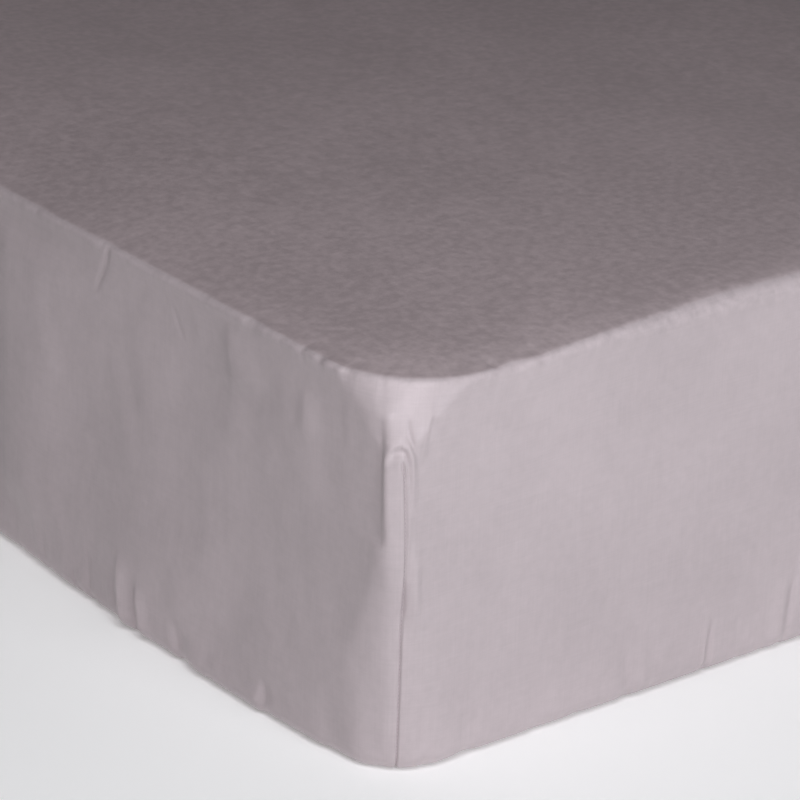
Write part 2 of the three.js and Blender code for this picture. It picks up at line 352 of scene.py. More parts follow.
def stroke(points, half, depth, fades=(15, 15), skew=1, on=relief):
    """Adds a ridge along points of (walk, level), in millimetres, as are half, depth and the fades.

    On the side of the greater walk the ridge is `skew` times as wide.
    """
    line = np.array(points, float) * MM
    lengths = np.linalg.norm(np.diff(line, axis=0), axis=1)
    along = np.concatenate([[0], np.cumsum(lengths)])
    half = np.interp(along, np.linspace(0, along[-1], np.size(half)), np.atleast_1d(half)) * MM
    depth = np.interp(along, np.linspace(0, along[-1], np.size(depth)), np.atleast_1d(depth)) * MM
    margin = 3 * half.max() * max(skew, 1)
    offset = shorter_way(columns - line[0, 0]) + line[0, 0]
    at_column = np.flatnonzero((offset > line[:, 0].min() - margin) & (offset < line[:, 0].max() + margin))
    at_row = np.flatnonzero((levels > line[:, 1].min() - margin) & (levels < line[:, 1].max() + margin))
    if not len(at_column) or not len(at_row):
        return
    walk, level = np.meshgrid(offset[at_column], levels[at_row])
    nearest = np.full(walk.shape, np.inf)
    place = np.zeros(walk.shape)
    beyond = np.zeros(walk.shape)
    for start, end, length, before in zip(line[:-1], line[1:], lengths, along):
        way = (end - start) / length
        ahead = np.clip((walk - start[0]) * way[0] + (level - start[1]) * way[1], 0, length)
        away = np.hypot(walk - start[0] - ahead * way[0], level - start[1] - ahead * way[1])
        closer = away < nearest
        nearest = np.where(closer, away, nearest)
        place = np.where(closer, before + ahead, place)
        beyond = np.where(closer, walk - start[0] - ahead * way[0], beyond)
    fade = smooth(place / (fades[0] * MM + 1e-9)) * smooth((along[-1] - place) / (fades[1] * MM + 1e-9))
    reach = np.interp(place, along, half) * np.where(beyond > 0, skew, 1)
    ridge = np.interp(place, along, depth) * np.exp(-((nearest / reach) ** 2)) * fade
    on[np.ix_(at_row, at_column)] += ridge


# %% [markdown]
# ## The corner darts
#
# At each corner the spare cloth was cut away and the two edges sewn together, which makes the upright
# seam. The seam stops short of the top edge. Above its end the last of the spare cloth has nowhere to go,
# so it rolls up into a hood: a ridge that comes up one side of the seam, arches over its end and goes down
# the other. Creases lie above the hood and beside it, and further down a soft roll follows the seam. Each
# stroke is placed across from the seam, and a dart made the other way round is its mirror image.

# %% Strokes of one dart, from its seam, in millimetres
SEAM_LINE = [
    (-2.6, 254), (-0.2, 244), (0.8, 224), (1.6, 200), (2.1, 178), (2, 156), (0.8, 138), (0, 120), (0, -110),
]
DART_STROKES = [  # each with the points, the half width, the depth, the two fades and the skew of a stroke
    # the seam's groove, and the thin line that runs round inside the hood
    (SEAM_LINE, [1.2, 0.9, 0.8, 0.8, 0.8], [-2.4, -2.0, -1.8, -1.8, -1.6], (3, 2), 1),
    ([(-10.5, 257), (-8, 260.4), (-4, 261.4), (-0.8, 259.4), (1.8, 252), (2.8, 239), (3.9, 224),
     (4.4, 206)], [1.2, 1.3, 1.2, 1.1, 1.0], [-1.4, -1.6, -1.2, -0.9, -0.7], (3, 30), 1),
    # the fold at the outer edge of the dart, sharp on the side of the panel, which ends sharply below
    ([(-19, 286), (-19, 276), (-19, 262), (-20, 245), (-18, 222), (-16, 200), (-16, 186)],
     [9, 11, 13, 15, 15, 14, 12], [-1.0, -2.0, -3.0, -3.2, -3.0, -2.8, -2.4], (10, 9), 0.3),
    ([(-11, 292), (-11.5, 272), (-13, 256), (-13.2, 244), (-12, 222), (-10.6, 200), (-10, 184)],
     [4, 3.6, 3.2, 3.2, 3.4, 4, 4.5], [0.0, 0.3, 1.0, 1.5, 1.6, 1.4, 1.0], (16, 14), 1),
    # the arch of the hood and its other leg
    ([(-13.6, 247), (-12.7, 257), (-9.4, 262.6), (-4.2, 265.4), (0.8, 263), (4.6, 256.7), (5.9, 243),
     (6.8, 220), (7.6, 196)], [2.2, 2.2, 2.3, 2.4, 2.4, 2.4, 2.8, 3.4, 4],
     [1.7, 1.7, 1.6, 1.5, 1.5, 1.5, 1.3, 1.0, 0.8], (8, 60), 1),
    # creases above the hood and on its other side
    ([(16.2, 289), (14.6, 281), (14, 273), (14, 262), (14.4, 246)], [5, 4.5, 4, 4, 4],
     [0.8, 1.3, 1.1, 0.7, 0.3], (7, 14), 0.42),
    ([(-1.2, 282), (-0.5, 277), (1.4, 269.5), (4.8, 262), (9, 253)], 1.8, -1.2, (7, 8), 1),
    ([(5.5, 279), (7.6, 268), (12, 258)], 3, 0.5, (10, 10), 1),
    # the fold that curls in below the hood and meets the seam
    ([(5.4, 200), (4.8, 178), (3.6, 164), (2.4, 152), (1.6, 140), (2.0, 126)],
     [2.4, 2.6, 2.6, 2.2, 1.8, 1.6], [-0.5, -1.0, -1.6, -1.9, -1.7, -1.0], (18, 8), 1),
    ([(12, 190), (11, 172), (9.6, 156), (9, 140), (10.4, 122), (12, 108)], [4, 3.6, 3.2, 3.2, 4, 5],
     [0.6, 1.1, 1.7, 1.9, 1.4, 0.5], (20, 16), 1),
    # below the hood: a soft roll beside the seam and shallow hollows further off
    ([(-8, 188), (-8, 134), (-7, 88), (-8, 48), (-12, 14)], [6, 7, 8, 8, 11], [1.2, 1.2, 1.0, 1.3, 0.9],
     (14, 20), 1),
    ([(-30, 106), (-31, 70)], 9, -1.3, (20, 24), 1),
    ([(14, 70), (17, 22)], 8, -0.9, (20, 14), 1),
]


def draw_dart(seam):
    """Draws the strokes of one dart, mirrored where it is made the other way round."""
    for points, half, depth, fades, skew in DART_STROKES:
        placed = [(seam_walk(seam) / MM + seam["way"] * across, level) for across, level in points]
        half = np.array(half)
        if seam["way"] < 0:
            half, skew = half * skew, 1 / skew
        stroke(placed, half, np.array(depth) * seam["strength"], fades, skew)


for seam in SEAMS:
    draw_dart(seam)
print(f"{len(DART_STROKES)} strokes in each of {len(SEAMS)} darts")

# %% [markdown]
# ## Creases that hang from the top edge
#
# Where the panel is pulled over the edge unevenly, a short crease hangs down from it. These are few and
# soft, and they are placed one by one. Near the corner the edge itself is scalloped, where the cloth
# bunches over it.

# %% Creases from the edge
HANGING = [  # each what a stroke is given, in millimetres
    ([(-332, 301), (-338, 288), (-347, 274), (-354, 260)], 2.2, -1.5, (3, 16)),
    ([(-262, 290), (-259, 278)], 4, -0.7, (6, 8)),
    ([(-252, 286), (-247, 274), (-239, 260)], 2.0, -0.9, (6, 9)),
    ([(-222, 284), (-220, 264)], 6, 0.8, (8, 12)),
    ([(-181, 296), (-176, 276), (-171, 258), (-167, 240)], [6, 12, 15, 12], [1.0, 4.0, 4.6, 1.2], (14, 18),
     1.7),
    ([(-89, 280), (-90, 256), (-92, 232)], [7, 9, 7], [1.4, 2.9, 1.4], (12, 20), 1.5),
    ([(-43, 286), (-45, 264), (-46, 236)], 5, 0.9, (12, 24), 1.6),
    ([(-139, 226), (-136, 168)], 12, 0.9, (20, 30)),
    ([(217, 304), (219, 266)], 11, 0.7, (14, 26)),
    ([(393, 302), (391, 256)], 14, -0.7, (14, 30)),
    ([(327, 209), (413, 235)], 9, 0.5, (30, 30)),
]
for mark in HANGING:
    stroke(*mark)
print(len(HANGING), "creases hang from the edge")

# %% Scallops along the top edge near the front left corner
EDGE_TICKS = [  # short notches across the edge: (walk, half width, depth), in millimetres
    (-150, 6.0, -0.4), (-90, 2.4, -0.3), (-69, 2.4, -0.3), (-41, 3.2, -0.7), (-13, 2.6, -0.3),
    (37, 3.0, -0.2), (76, 3.0, -1.4), (117, 3.4, -0.8),
]
EDGE_BEADS = [  # stretches where the mattress's edge presses through as a low bead: (from, to, depth)
    (-500, -428, 0.6), (-432, -342, 0.9), (-334, -292, 0.7), (-300, -206, 0.7), (-212, -154, 1.0),
    (-146, -88, 1.1), (-93, -68, 1.2), (-71, -40, 1.6), (92, 116, 0.6),
]
BEAD_LEVEL = EDGE_LEVEL / MM - 17
for walk, half, depth in EDGE_TICKS:
    points = [(walk - 1, BEAD_LEVEL + 16), (walk, BEAD_LEVEL), (walk + 1, BEAD_LEVEL - 14)]
    stroke(points, half, depth, (7, 10))
for start, end, depth in EDGE_BEADS:
    points = [(start, BEAD_LEVEL - 1), ((start + end) / 2, BEAD_LEVEL + 1), (end, BEAD_LEVEL - 1)]
    stroke(points, 3.0, depth, (9, 8))
print(len(EDGE_TICKS), "notches and", len(EDGE_BEADS), "beads on the edge")

# %% [markdown]
# ## Puckers at the bottom edge and pleats in the hem
#
# The hem is shorter than the cloth that it holds, so the cloth runs up from it in puckers. They turn over
# the bottom edge and die out a few centimetres up the side. The ones in view are placed one by one. The rest
# are scattered by a seeded draw, so that every run makes the same sheet.

# %% Puckers placed one by one, in millimetres
PUCKERS = [
    ([(-470, 60), (-462, 26), (-458, -10)], 6, -1.0, (26, 14)),
    ([(-424, 56), (-416, 26), (-412, -10)], 5, -1.0, (26, 14)),
    ([(-400, 54), (-385, 34), (-372, 18), (-366, 4), (-363, -40)], [1.8, 2.2, 2.6], -1.2, (26, 20)),
    ([(-394, 46), (-378, 26), (-371, 6)], 2.4, 0.9, (18, 8)),
    ([(-362, 36), (-359, 10)], 3, 0.9, (14, 8)),
    ([(-342, 74), (-344, 34)], 7, -1.0, (24, 20)),
    ([(-353, 62), (-351, 36), (-350, 8), (-349, -40)], 2.4, -1.3, (24, 20)),
    ([(-340, 14), (-338, -4)], 3, 0.9, (7, 7)),
    ([(-323, 42), (-319, 12)], 3.4, 1.0, (14, 9)),
    ([(-309, 44), (-304, 24), (-301, 4), (-299, -50)], 1.9, -1.7, (14, 20)),
    ([(-306, 70), (-303, 40), (-300, 20), (-299, 0), (-298, -60)], [4, 4, 3.6, 3.2],
     [2.6, 6.2, 7.0, 5.6, 4.6], (20, 20), 2.6),
    ([(-284, 24), (-284, 8), (-283, -8), (-283, -50)], [2.4, 4, 4.2, 3.6], [-1.5, -6.4, -6.4, -5.0],
     (7, 20)),
    ([(-280, 54), (-277, 34), (-275, 14), (-274, -10)], [3, 3.6, 3.4], [2.6, 5.2, 2.4], (16, 12), 2.6),
    ([(-232, 38), (-229, 16), (-227, 0), (-226, -50)], [4.4, 5, 4],
     [-1.4, -5.0, -3.4, -1.6, -1.2, -1.0, -0.8], (12, 20), 3.6),
    ([(-121, 38), (-122, 16), (-123, -2), (-124, -50)], [4, 5, 4],
     [-1.2, -4.8, -3.0, -1.2, -1.0, -0.8, -0.8], (14, 20), 2.6),
    ([(61, 48), (65, 20), (67, -14)], 8, -0.9, (20, 14)),
    ([(127, 62), (132, 30), (135, -6)], 10, -1.0, (24, 14)),
    ([(213, 60), (219, 28), (222, -6), (223, -60)], [6, 5, 4], [-1.4, -2.4, -1.6, -0.8, -0.6, -0.6],
     (22, 20)),
    ([(231, 60), (235, 30), (237, 0)], 5, 0.9, (22, 12)),
    ([(297, 58), (295, 30), (294, 0)], 2.4, 1.4, (20, 12)),
    ([(302, 54), (301, 26), (300, -4), (300, -60)], [2.6, 3, 3], [-1.6, -2.6, -1.8, -0.8, -0.6, -0.6],
     (18, 20)),
    ([(350, 66), (349, 32), (348, 0)], 8, -0.8, (24, 14)),
    ([(376, 74), (374, 34), (373, 2)], 4, 1.0, (26, 14)),
    ([(388, 82), (384, 38), (380, 0), (379, -60)], [4, 4, 3.6], [-1.6, -2.6, -2.4, -0.8, -0.6, -0.6],
     (30, 20)),
]
for mark in PUCKERS:
    stroke(*mark)
print(len(PUCKERS), "puckers placed by hand")

# %% Puckers scattered round the rest of the hem
draw = random.Random(11)


def scatter_puckers(start, end, spacing, strength):
    """Puckers of mixed size from one walk to another, in millimetres."""
    walk = start
    while walk < end:
        size = draw.choice([0.35, 0.5, 0.7, 1.0])
        reach = 22 + 48 * size * draw.uniform(0.7, 1.2)
        lean = draw.uniform(-9, 9)
        sign = draw.choice([-1.0, -1.0, 0.7])
        points = [
            (walk + lean, reach), (walk + lean * 0.3, reach * 0.4), (walk, -6), (walk - lean * 0.4, -70),
        ]
        half = draw.uniform(3.5, 6.5) * (0.6 + 0.6 * size)
        stroke(points, [half * 1.3, half, half * 0.8], sign * 2.6 * size * strength, (reach * 0.6, 25))
        walk += draw.uniform(0.5, 1.5) * spacing


outline_mm = outline_length / MM
scatter_puckers(490, outline_mm - 490, 34, 1.0)
scatter_puckers(-470, 460, 36, 0.3)
print(f"relief down to {relief.min() / MM:.1f} mm with the puckers")

# %% [markdown]
# ## Pleats underneath, and the give of the cloth
#
# Under the mattress the gathers are small pleats, pressed flat by the weight, and deepest at the hem. A
# sum of sines with uneven lengths draws them. Everywhere else the cloth gives a little over the filling:
# broad, low waves that run mostly up and down. Those come from a few dozen sine waves in random
# directions, which is smooth noise that needs no texture and closes on itself round the outline.

# %% Pleats of the gathered hem
PLEAT_LENGTHS = [15.5, 21, 28, 38]  # millimetres from crest to crest
pleats = np.zeros(len(columns))
for number, length in enumerate(PLEAT_LENGTHS):
    waves = round(outline_length / (length * MM))
    pleats += np.sin(2 * math.pi * waves * columns / outline_length + 1.7 * number)
pleats = np.clip(pleats / 2.6 + 0.35, 0, 1.2)
lap_share = np.clip((LAP_LEVEL - levels) / (LAP_LEVEL - hem_level), 0, 1)
relief -= GATHER * 0.8 * (lap_share**1.2)[:, None] * pleats[None, :]
print(len(PLEAT_LENGTHS), "lengths of pleat, the shortest", min(PLEAT_LENGTHS), "mm")

# %% Broad, low waves
WAVE_COUNT = 28


def soft_waves(points, length, upright, seed):
    """Smooth noise at points, about `length` from crest to crest, drawn out `upright` times in height."""
    chance = np.random.default_rng(seed)
    total = np.zeros(points.shape[:-1])
    for _ in range(WAVE_COUNT):
        direction = chance.normal(size=3)
        direction /= np.linalg.norm(direction)
        direction[2] /= upright
        phase = 2 * math.pi / (length * chance.uniform(0.7, 1.5)) * points @ direction
        total += np.sin(phase + chance.uniform(0, 7))
    return total / math.sqrt(WAVE_COUNT / 2)


def top_waves(points):
    """The waves of the top, which the cloth and the mattress under it share."""
    return 1.1 * MM * soft_waves(points, 330 * MM, 1.0, 7)


def ring_points(row):
    """The places of a row's points at rest, and the way that the side faces at each."""
    flat, facing = outline(columns, row["inset"], row["radius"], row["bend"])
    return np.column_stack([flat, row["height"]]), facing


rings = [ring_points(row) for row in rows]
rest = np.stack([points for points, _ in rings])
facings = np.stack([facing for _, facing in rings])
on_side = smooth((levels - 10 * MM) / (40 * MM)) * smooth((upper_bend + 10 * MM - levels) / (50 * MM))
on_top = smooth((levels - EDGE_LEVEL - 10 * MM) / (60 * MM))
from_left_side = np.clip((shorter_way(columns) + 60 * MM) / (120 * MM), 0, 1)
calm = 1 - 0.62 * smooth(from_left_side) * (shorter_way(columns) < 700 * MM)  # the foot end is drawn tighter
relief += 0.8 * MM * soft_waves(rest, 95 * MM, 2.4, 5) * on_side[:, None] * calm
relief += 0.28 * MM * soft_waves(rest, 36 * MM, 1.8, 6) * on_side[:, None] * calm
relief += top_waves(rest) * on_top[:, None]
print(f"waves on {len(rings)} rings of {len(columns)} points")

# %% Broad swells and hollows of the filling, in millimetres
SWELLS = [
    ([(-464, 290), (-460, 36)], 24, 7.5, (30, 40), 4),
    ([(-262, 160), (-255, -110)], 120, 9.0, (110, 60)),
    ([(-400, 90), (-400, -110)], 60, 3.4, (70, 60)),
    ([(-112, 100), (-110, -110)], 36, 2.6, (80, 60)),
    ([(-42, 70), (-42, -110)], 14, -2.2, (50, 60)),
    ([(-250, 10), (-80, 4)], 20, 4.5, (50, 50)),  # the lowest part overhangs
    ([(-104, 11), (-36, 8)], 14, 2.0, (30, 30)),
    # the side stays flat right up to the dart, where the corner above is already round
    ([(-7, 293), (-7, 285), (-8, 277), (-8, 266)], 15, [3.4, 3.2, 2.0, 0.6], (12, 8), 0.6),
    ([(560, 120), (560, -110)], 150, 3.0, (90, 60)),
    ([(1900, 130), (1900, -110)], 170, 3.0, (90, 60)),
    ([(2800, 120), (2800, -110)], 160, 4.0, (90, 60)),
    ([(-2600, 130), (-2600, -110)], 150, 3.0, (90, 60)),
    ([(-1300, 120), (-1300, -110)], 160, 4.0, (90, 60)),
]
for mark in SWELLS:
    stroke(*mark, on=swell)
print(f"relief from {relief.min() / MM:.1f} to {relief.max() / MM:.1f} mm")

# %% [markdown]
# ## The cloth as one mesh
#
# Rows and columns now become points: each is moved from its place at rest by the relief, along the way
# that the surface faces there. Underneath, the cloth can only be drawn up, because it lies on the ground.
# Two rows that use the same columns are joined by four-sided faces. Where one row uses more columns than
# its neighbour, each wide face simply takes the extra points into its edge.

# %% How far the top edge stands above its height at the corners, where the dart and the hem pull it down
LIFTS = [  # (walk, lift), in millimetres
    (-1960, 0), (-1500, 4), (-900, 4), (-500, 0), (115, 0), (174, 3.4), (238, 5.6), (290, 7.4), (360, 7.2),
    (900, 5), (1380, 0), (1900, 4), (2700, 4), (3150, 0),
]


def lift_at(walk, level):
    """The lift at a walk and a level. It fades down the side and in over the top."""
    up_the_side = smooth((level - 150 * MM) / (upper_bend - 150 * MM))
    over_the_top = np.exp(-np.clip(level - EDGE_LEVEL, 0, None) / (180 * MM))
    return table_value(LIFTS, shorter_way(walk)) * up_the_side * over_the_top


print(f"the edge is up to {lift_at(columns, top_edge).max() / MM:.1f} mm higher between the corners")

# %% Points
out = np.stack([row["out"] for row in rows])
up = np.stack([row["up"] for row in rows])
drawn_up_only = np.clip(-up, 0, 1)  # underneath, a ridge would go into the ground
relief = np.where(relief > 0, relief * (1 - drawn_up_only), relief)
relief = np.where(drawn_up_only > 0.99, np.clip(relief, -GATHER, 0), relief)
places = rest.copy()
places[..., :2] += facings * (relief * out + swell)[..., None]
places[..., 2] += relief * up + lift_at(columns[None, :], levels[:, None])
places[..., 2] = np.maximum(places[..., 2], 0)
print(f"the cloth reaches {places[..., 2].max():.4f} m high")

# %% Faces
point_of = np.full(relief.shape, -1)
vertices, vertex_walks, vertex_levels = [], [], []
for number, row in enumerate(rows):
    used = column_sets[row["density"]]
    point_of[number, used] = np.arange(len(vertices), len(vertices) + len(used))
    vertices.extend(places[number, used])
    vertex_walks.extend(columns[used])
    vertex_levels.extend(np.full(len(used), levels[number]))


def row_points(row, left, right):
    """The points that a row has from one column to another."""
    found = [point_of[row, number % len(columns)] for number in range(left, right + 1)]
    return [int(point) for point in found if point >= 0]


def bridge(upper, lower):
    """Faces between two rows of the grid, whose columns are the same or one a choice of the other's."""
    above, below = column_sets[rows[upper]["density"]], column_sets[rows[lower]["density"]]
    wide = above if len(above) <= len(below) else below
    return [
        row_points(upper, left, right)[::-1] + row_points(lower, left, right)
        for left, right in zip(wide, np.append(wide[1:], wide[0] + len(columns)))
    ]


faces = [face for number in range(len(rows) - 1) for face in bridge(number, number + 1)]
centre = len(vertices)
vertices.append(np.array([0, 0, sheet_high.z + FULLNESS - CROWN_DIP]))
vertex_walks.append(0)
vertex_levels.append(levels[0] + rows[0]["inset"][0])
innermost = [int(point) for point in point_of[0, column_sets[FEW]]]
faces += [[centre, point, after] for point, after in zip(innermost, innermost[1:] + innermost[:1])]
print(f"{len(vertices)} points and {len(faces)} faces in the cloth")

# %% Mesh, with the walk and the level of each face corner kept as its texture coordinates
def new_piece(name, points, polygons):
    """A smooth mesh as an object of the scene."""
    mesh = bpy.data.meshes.new(name)
    mesh.from_pydata([tuple(point) for point in points], [], polygons)
    mesh.polygons.foreach_set("use_smooth", [True] * len(mesh.polygons))
    mesh.update()
    piece = bpy.data.objects.new(name, mesh)
    bpy.context.scene.collection.objects.link(piece)
    return piece


def corner_numbers(mesh):
    """For each face corner of a mesh, the number of its point and of its face."""
    points = np.empty(len(mesh.loops), int)
    mesh.loops.foreach_get("vertex_index", points)
    sizes = np.empty(len(mesh.polygons), int)
    mesh.polygons.foreach_get("loop_total", sizes)
    return points, np.repeat(np.arange(len(sizes)), sizes)


sheet = new_piece("sheet_cloth", vertices, faces)
corner_points, corner_faces = corner_numbers(sheet.data)
first_corner = np.searchsorted(corner_faces, np.arange(len(faces)))
walk_there = np.array(vertex_walks)[corner_points]
walk_first = walk_there[first_corner][corner_faces]
level_there = np.array(vertex_levels)[corner_points]
lies_on_top = level_there[first_corner][corner_faces] > EDGE_LEVEL + 3 * MM
flat_there = np.array(vertices)[corner_points][:, :2]
along_cloth = np.column_stack([walk_first + shorter_way(walk_there - walk_first), level_there])
grain = np.where(lies_on_top[:, None], flat_there, along_cloth)
sheet.data.uv_layers.new(name="grain").data.foreach_set("uv", grain.astype(np.float32).ravel())
print("the threads run along the edges of the top and of each side")

# %% [markdown]
# ## Stitches
#
# A dart is sewn with a lock stitch, about three millimetres long, which sinks into the seam's groove. The
# hem is turned over and sewn down once more, all the way round. Each stitch is a short bar of thread with
# tapered ends, where it dives into the cloth. The bars lie on the cloth as it now is, folds and all.

# %% Helpers: a place on the cloth, and a bar of thread between two places
rows_to_hem = int(np.argmin(levels))


def on_cloth(walk, level):
    """The place on the cloth at a walk and a level, and the way that the side faces there."""
    along = np.mod(walk - columns[0], outline_length)
    column = np.interp(along, np.append(columns - columns[0], outline_length), np.arange(len(columns) + 1))
    row = np.interp(-level, -levels[:rows_to_hem + 1], np.arange(rows_to_hem + 1))
    above, before = min(int(row), rows_to_hem - 1), int(column)
    after = (before + 1) % len(columns)
    down, across = row - above, column - before
    upper = places[above, before] * (1 - across) + places[above, after] * across
    lower = places[above + 1, before] * (1 - across) + places[above + 1, after] * across
    facing = np.append(facings[above, before], 0)
    return upper * (1 - down) + lower * down, facing


BAR_SIDES = 6
BAR_PROFILE = [(0.0, 0.35), (0.2, 0.9), (0.5, 1.0), (0.8, 0.9), (1.0, 0.35)]  # (way along, share of radius)


def add_bar(points, polygons, start, end, facing, radius, sink):
    """Adds a bar of thread from start to end, whose ends dive `sink` into the cloth."""
    way = (end - start) / np.linalg.norm(end - start)
    sideways = np.cross(way, facing)
    sideways /= np.linalg.norm(sideways)
    outwards = np.cross(sideways, way)
    first = len(points)
    for share, thickness in BAR_PROFILE:
        middle = start + share * (end - start) - outwards * sink * (2 * share - 1) ** 2
        for side in range(BAR_SIDES):
            turn = 2 * math.pi * side / BAR_SIDES
            rim = math.cos(turn) * sideways + math.sin(turn) * outwards
            points.append(middle + radius * thickness * rim)
    rings = [first + BAR_SIDES * number for number in range(len(BAR_PROFILE))]
    for ring, after in zip(rings, rings[1:]):
        for side in range(BAR_SIDES):
            beside = (side + 1) % BAR_SIDES
            polygons.append((ring + side, ring + beside, after + beside, after + side))
    polygons.append(tuple(rings[0] + side for side in reversed(range(BAR_SIDES))))
    polygons.append(tuple(rings[-1] + side for side in range(BAR_SIDES)))


# %% Stitches in the four seams
SEAM_PITCH, SEAM_STITCH, SEAM_THREAD = 3.1 * MM, 2.3 * MM, 0.2 * MM
seam_levels = [level for _, level in SEAM_LINE][::-1]
seam_offsets = [across for across, _ in SEAM_LINE][::-1]
FIRST_STITCH, LAST_STITCH = 248 * MM, 3 * MM


def on_seam(seam, level):
    """The place on a seam at a level, and the way that the side faces there."""
    across = np.interp(level / MM, seam_levels, seam_offsets) * MM
    return on_cloth(seam_walk(seam) + seam["way"] * across, level)


seam_points, seam_polygons = [], []
for seam in SEAMS:
    for level in np.arange(FIRST_STITCH, LAST_STITCH, -SEAM_PITCH):
        start, facing = on_seam(seam, level)
        end, _ = on_seam(seam, level - SEAM_STITCH)
        add_bar(seam_points, seam_polygons, start, end, facing, SEAM_THREAD, SEAM_THREAD)
seam_stitches = new_piece("seam_stitches", seam_points, seam_polygons)
print(len(seam_points) // (BAR_SIDES * len(BAR_PROFILE)), "stitches in the seams")

# %% Stitches along the hem, underneath
HEM_PITCH, HEM_STITCH, HEM_THREAD = 5.0 * MM, 3.8 * MM, 0.28 * MM
hem_line = hem_level + HEM_DEPTH - 2 * MM
down = np.array([0, 0, -1.0])
hem_points, hem_polygons = [], []
hem_count = int(outline_length / HEM_PITCH)
for number in range(hem_count):
    walk = number * outline_length / hem_count
    start, end = (on_cloth(place, hem_line)[0] for place in (walk, walk + HEM_STITCH))
    for place in (start, end):  # the thread is pressed into the cloth where it lies on the ground
        place[2] = max(place[2], 1.2 * HEM_THREAD)
    add_bar(hem_points, hem_polygons, start, end, down, HEM_THREAD, -0.4 * HEM_THREAD)
hem_stitches = new_piece("hem_stitches", hem_points, hem_polygons)
print(hem_count, "stitches in the hem")

# %% [markdown]
# ## The mattress inside
#
# Only its underside shows, inside the hem, but the cloth has to lie on something with the right size and
# edges. It is a plain foam block in a ticking cover. Its top rises and dips with the cloth on it, so that
# the two never cross, and a sewn tape binds its upper and lower edges. Both are rings round the same
# outline, drawn in by the little space that lies under the cloth.

# %% Rings of the mattress, from the middle of its underside to the middle of its top
MATTRESS_CORNER = 74 * MM
MATTRESS_TIGHTEST = 30 * MM  # the corner radius of its innermost rings
MATTRESS_EDGE = 20 * MM
mattress_inset = half_width - (mattress_high.x - BARREL)
mattress_edge_top = mattress_high.z - CROWN
side_places = np.linspace(0, 1, 34)[1:-1]
mattress_walks = np.concatenate([
    corner_walk(corner) + np.append(
        np.linspace(-0.5, 0.5, 13) * corner_arc,
        corner_arc / 2 + side_places * side_lengths[corner],
    )
    for corner in range(4)
])


def mattress_ring(inset, height):
    """A ring of the mattress's points, that far in from its outline and that high."""
    radius = max(MATTRESS_CORNER - inset, MATTRESS_TIGHTEST)
    flat, _ = outline(mattress_walks, inset + mattress_inset, radius, MATTRESS_CORNER)
    level = EDGE_LEVEL + inset - TOP_ROUND if height > mattress_edge_top - ROUNDING else height
    return np.column_stack([flat, height + lift_at(mattress_walks, level)])


def add_edge(angles, height, up):
    """Rings over a rounded edge, whose flat face is at that height, going up or down from there."""
    for angle in angles:
        inset, drop = MATTRESS_EDGE * (1 - math.sin(angle)), MATTRESS_EDGE * (1 - math.cos(angle))
        mattress_rings.append(mattress_ring(inset, height + up * drop))


UNDER_INSETS = [640, 590, 540, 490, 440, 390, 340, 290, 240, 200, 165, 140, 115, 80, 45]  # in millimetres
OVER_INSETS = [45, 80, 120, 165, 220, 290, 360, 440, 540, 640]
mattress_rings = [mattress_ring(inset * MM, mattress_low.z) for inset in UNDER_INSETS]
quarter = np.linspace(0, math.pi / 2, 7)
add_edge(quarter, mattress_low.z, 1)
side_bottom, side_top = mattress_low.z + MATTRESS_EDGE, mattress_edge_top - MATTRESS_EDGE
for share in np.linspace(0, 1, 11)[1:-1]:
    swelling = BARREL * math.sin(math.pi * share)
    mattress_rings.append(mattress_ring(-swelling, side_bottom + share * (side_top - side_bottom)))
add_edge(quarter[::-1], mattress_edge_top, -1)
for inset in [value * MM for value in OVER_INSETS]:
    ring = mattress_ring(inset, mattress_edge_top + rise_at(inset))
    share = float(smooth((inset - 10 * MM) / (60 * MM)))
    ring[:, 2] += top_waves(ring) * share
    mattress_rings.append(ring)
underside_waves = soft_waves(np.stack(mattress_rings[:len(UNDER_INSETS)]), 260 * MM, 1.0, 9)
for ring, waves in zip(mattress_rings, underside_waves):
    ring[:, 2] += 0.25 * MM * (waves + 2.5)  # up from the ground only
print(len(mattress_rings), "rings of", len(mattress_walks), "points in the mattress")

# %% The mattress as a closed mesh
def joined_rings(ring_list, width, closed=False):
    """Faces between neighbouring rings of the same number of points, as numbers from nought."""
    pairs = list(zip(range(len(ring_list) - 1), range(1, len(ring_list))))
    if closed:
        pairs.append((len(ring_list) - 1, 0))
    return [
        (first * width + point, first * width + (point + 1) % width,
         second * width + (point + 1) % width, second * width + point)
        for first, second in pairs
        for point in range(width)
    ]


width = len(mattress_walks)
mattress_points = list(np.concatenate(mattress_rings))
mattress_faces = joined_rings(mattress_rings, width)
under_middle, top_middle = len(mattress_points), len(mattress_points) + 1
for height in (mattress_low.z, mattress_high.z + FULLNESS - CROWN_DIP):
    mattress_points.append(np.array([0, 0, height]))
last_ring = (len(mattress_rings) - 1) * width
beside = [(point, (point + 1) % width) for point in range(width)]
mattress_faces += [(under_middle, after, point) for point, after in beside]
mattress_faces += [(top_middle, last_ring + point, last_ring + after) for point, after in beside]
mattress = new_piece("mattress_body", mattress_points, mattress_faces)
print(len(mattress_faces), "faces in the mattress")

# %% The tape that binds its two edges
TAPE_RADIUS = 2.6 * MM
TAPE_SIDES = 12


def tape_points(middle_inset, middle_height):
    """A round band that follows the outline, with its middle at that inset and height."""
    turns = [2 * math.pi * side / TAPE_SIDES for side in range(TAPE_SIDES)]
    return [
        mattress_ring(
            middle_inset - TAPE_RADIUS * math.cos(turn), middle_height + TAPE_RADIUS * math.sin(turn)
        )
        for turn in turns
    ]


